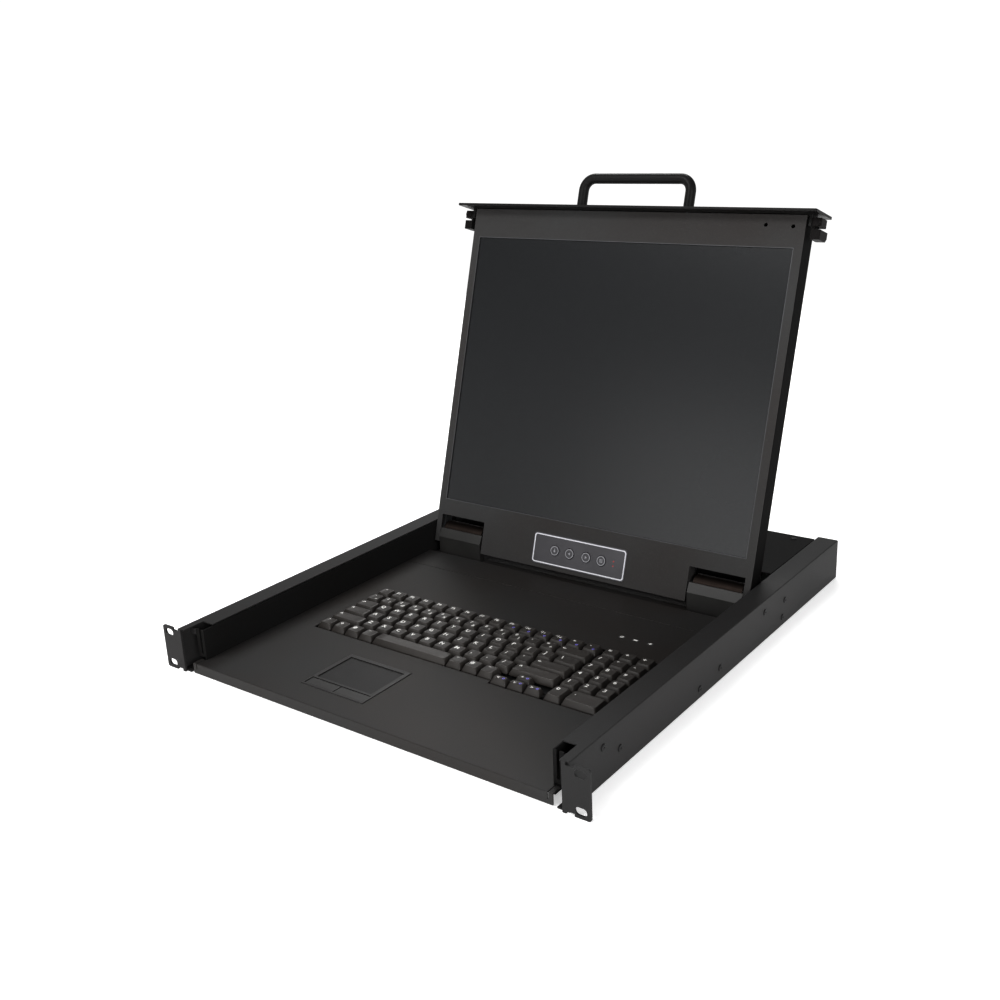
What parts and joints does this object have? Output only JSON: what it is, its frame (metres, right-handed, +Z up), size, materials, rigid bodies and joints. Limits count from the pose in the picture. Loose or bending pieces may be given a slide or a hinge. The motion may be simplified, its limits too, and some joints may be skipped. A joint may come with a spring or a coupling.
{
  "type": "rack-mount kvm console drawer",
  "caption": "One-unit rack drawer with a folding flat screen, keyboard and touchpad on telescopic slides between two slotted rack ears.",
  "frame": {"origin": "centre of the four rack mounting slots, on the front face of the ears", "axes": "+X to the user's right, +Y back into the rack, +Z up"},
  "size_m": [0.4826, 0.526, 0.4261],
  "materials": {
    "rail_coat": "black powder coat, satin",
    "drawer_coat": "black powder coat, satin",
    "panel_coat": "warm black fine-textured coat",
    "display_coat": "black powder coat, satin",
    "handle_coat": "black coated bar",
    "latch_coat": "black coated steel",
    "black_screw": "black oxide",
    "zinc_steel": "zinc-plated sheet",
    "module_frame": "metal-edged plastic module",
    "ball_steel": "polished steel",
    "bronze_steel": "browned steel",
    "nickel_shell": "nickel-plated shell",
    "cage_plastic": "natural acetal",
    "black_plastic": "moulded",
    "hinge_plastic": "moulded, satin",
    "key_plastic": "fine-textured key plastic",
    "pad_plastic": "moulded, fine texture",
    "membrane_rubber": "silicone",
    "circuit_board": "solder-masked laminate",
    "screen_surface": "dark anti-glare screen",
    "osd_film": "printed membrane",
    "lamp_lens": "frosted lens",
    "red_lens": "tinted lens"
  },
  "bodies": {
    "rack_rails": {"left_outer_rail": "rail_coat", "right_outer_rail": "rail_coat", "left_rack_ear": "rail_coat", "right_rack_ear": "rail_coat", "rail_screws": "black_screw", "slide_outer_members": "zinc_steel", "rear_tie_strip": "rail_coat"},
    "slide_middles": {"slide_middle_members": "zinc_steel"},
    "outer_cages": {"outer_ball_cages": "cage_plastic", "outer_slide_balls": "ball_steel"},
    "inner_cages": {"inner_ball_cages": "cage_plastic", "inner_slide_balls": "ball_steel"},
    "drawer": {"drawer_chassis": "drawer_coat", "slide_inner_members": "zinc_steel", "keyboard_panel": "panel_coat", "hinge_deck": "panel_coat", "rear_cover": "drawer_coat", "cover_screws": "black_screw", "rear_panel": "drawer_coat", "main_board": "circuit_board", "power_supply": "zinc_steel", "power_inlet": "black_plastic", "kvm_port_sockets": "nickel_shell", "lock_indicator_lamps": "lamp_lens", "hinge_barrels": "bronze_steel", "left_hinge_cover": "hinge_plastic", "right_hinge_cover": "hinge_plastic", "keyboard_base": "black_plastic", "key_membrane": "membrane_rubber", "touchpad": "pad_plastic"},
    "display": {"display_bezel": "display_coat", "display_back_cover": "display_coat", "screen_glass": "screen_surface", "lcd_panel": "module_frame", "display_controller_board": "circuit_board", "hinge_pins": "ball_steel", "hinge_arms": "zinc_steel", "osd_panel": "osd_film", "osd_leds": "red_lens", "front_bar": "display_coat", "handle": "handle_coat", "handle_screws": "zinc_steel"},
    "power_rocker": {"power_switch": "black_plastic"},
    "left_latch_slider": {"left_latch": "latch_coat"},
    "right_latch_slider": {"right_latch": "latch_coat"},
    "pad_left_button": {"touchpad_left_button": "pad_plastic"},
    "pad_right_button": {"touchpad_right_button": "pad_plastic"},
    "function_keys": {"function_keys": "key_plastic"},
    "number_row_keys": {"number_row_keys": "key_plastic"},
    "top_letter_keys": {"top_letter_keys": "key_plastic"},
    "home_row_keys": {"home_row_keys": "key_plastic"},
    "lower_letter_keys": {"lower_letter_keys": "key_plastic"},
    "bottom_row_keys": {"bottom_row_keys": "key_plastic"},
    "space_bar": {"space_bar": "key_plastic"},
    "arrow_keys": {"arrow_keys": "key_plastic"},
    "keypad_keys": {"keypad_keys": "key_plastic"},
    "osd_button_1": {"osd_button_1": "osd_film"},
    "osd_button_2": {"osd_button_2": "osd_film"},
    "osd_button_3": {"osd_button_3": "osd_film"},
    "osd_button_4": {"osd_button_4": "osd_film"}
  },
  "joints": [
    {"name": "drawer_slide", "type": "slide", "parent": "rack_rails", "child": "drawer", "axis": [0, -1, 0], "range_m": [0, 0.45]},
    {"name": "slide_middle_travel", "type": "slide", "parent": "rack_rails", "child": "slide_middles", "axis": [0, -1, 0], "range_m": [0, 0.225]},
    {"name": "outer_cage_travel", "type": "slide", "parent": "rack_rails", "child": "outer_cages", "axis": [0, -1, 0], "range_m": [0, 0.1125]},
    {"name": "inner_cage_travel", "type": "slide", "parent": "rack_rails", "child": "inner_cages", "axis": [0, -1, 0], "range_m": [0, 0.3375]},
    {"name": "display_fold", "type": "hinge", "parent": "drawer", "child": "display", "pos_m": [0, 0.372, 0.00917], "axis": [1, 0, 0], "range_deg": [-8, 106.9]},
    {"name": "power_rocker_tilt", "type": "hinge", "parent": "drawer", "child": "power_rocker", "pos_m": [-0.125, 0.515, 0.00017], "axis": [1, 0, 0], "range_deg": [0, 18]},
    {"name": "left_latch_slide", "type": "slide", "parent": "display", "child": "left_latch_slider", "axis": [0, -0.9568, 0.2907], "range_m": [0, 0.003], "stiffness_N_per_m": 400, "springref_m": -0.002},
    {"name": "right_latch_slide", "type": "slide", "parent": "display", "child": "right_latch_slider", "axis": [0, -0.9568, 0.2907], "range_m": [0, 0.003], "stiffness_N_per_m": 400, "springref_m": -0.002},
    {"name": "pad_left_press", "type": "slide", "parent": "drawer", "child": "pad_left_button", "axis": [0, 0, -1], "range_m": [0, 0.0008], "stiffness_N_per_m": 900, "springref_m": -0.0006},
    {"name": "pad_right_press", "type": "slide", "parent": "drawer", "child": "pad_right_button", "axis": [0, 0, -1], "range_m": [0, 0.0008], "stiffness_N_per_m": 900, "springref_m": -0.0006},
    {"name": "function_press", "type": "slide", "parent": "drawer", "child": "function_keys", "axis": [0, 0, -1], "range_m": [0, 0.0022], "stiffness_N_per_m": 3080, "springref_m": -0.001},
    {"name": "number_row_press", "type": "slide", "parent": "drawer", "child": "number_row_keys", "axis": [0, 0, -1], "range_m": [0, 0.0022], "stiffness_N_per_m": 3080, "springref_m": -0.001},
    {"name": "top_letter_press", "type": "slide", "parent": "drawer", "child": "top_letter_keys", "axis": [0, 0, -1], "range_m": [0, 0.0022], "stiffness_N_per_m": 3080, "springref_m": -0.001},
    {"name": "home_row_press", "type": "slide", "parent": "drawer", "child": "home_row_keys", "axis": [0, 0, -1], "range_m": [0, 0.0022], "stiffness_N_per_m": 3080, "springref_m": -0.001},
    {"name": "lower_letter_press", "type": "slide", "parent": "drawer", "child": "lower_letter_keys", "axis": [0, 0, -1], "range_m": [0, 0.0022], "stiffness_N_per_m": 3080, "springref_m": -0.001},
    {"name": "bottom_row_press", "type": "slide", "parent": "drawer", "child": "bottom_row_keys", "axis": [0, 0, -1], "range_m": [0, 0.0022], "stiffness_N_per_m": 1540, "springref_m": -0.001},
    {"name": "space_press", "type": "slide", "parent": "drawer", "child": "space_bar", "axis": [0, 0, -1], "range_m": [0, 0.0022], "stiffness_N_per_m": 220, "springref_m": -0.001},
    {"name": "arrow_press", "type": "slide", "parent": "drawer", "child": "arrow_keys", "axis": [0, 0, -1], "range_m": [0, 0.0022], "stiffness_N_per_m": 880, "springref_m": -0.001},
    {"name": "keypad_press", "type": "slide", "parent": "drawer", "child": "keypad_keys", "axis": [0, 0, -1], "range_m": [0, 0.0022], "stiffness_N_per_m": 3740, "springref_m": -0.001},
    {"name": "osd_button_1_press", "type": "slide", "parent": "display", "child": "osd_button_1", "axis": [0, 0.9568, -0.2907], "range_m": [0, 0.0008], "stiffness_N_per_m": 900, "springref_m": -0.0006},
    {"name": "osd_button_2_press", "type": "slide", "parent": "display", "child": "osd_button_2", "axis": [0, 0.9568, -0.2907], "range_m": [0, 0.0008], "stiffness_N_per_m": 900, "springref_m": -0.0006},
    {"name": "osd_button_3_press", "type": "slide", "parent": "display", "child": "osd_button_3", "axis": [0, 0.9568, -0.2907], "range_m": [0, 0.0008], "stiffness_N_per_m": 900, "springref_m": -0.0006},
    {"name": "osd_button_4_press", "type": "slide", "parent": "display", "child": "osd_button_4", "axis": [0, 0.9568, -0.2907], "range_m": [0, 0.0008], "stiffness_N_per_m": 900, "springref_m": -0.0006}
  ],
  "couplings": [
    {"joint": "slide_middle_travel", "follows": "drawer_slide", "ratio": 0.5},
    {"joint": "outer_cage_travel", "follows": "drawer_slide", "ratio": 0.25},
    {"joint": "inner_cage_travel", "follows": "drawer_slide", "ratio": 0.75}
  ]
}
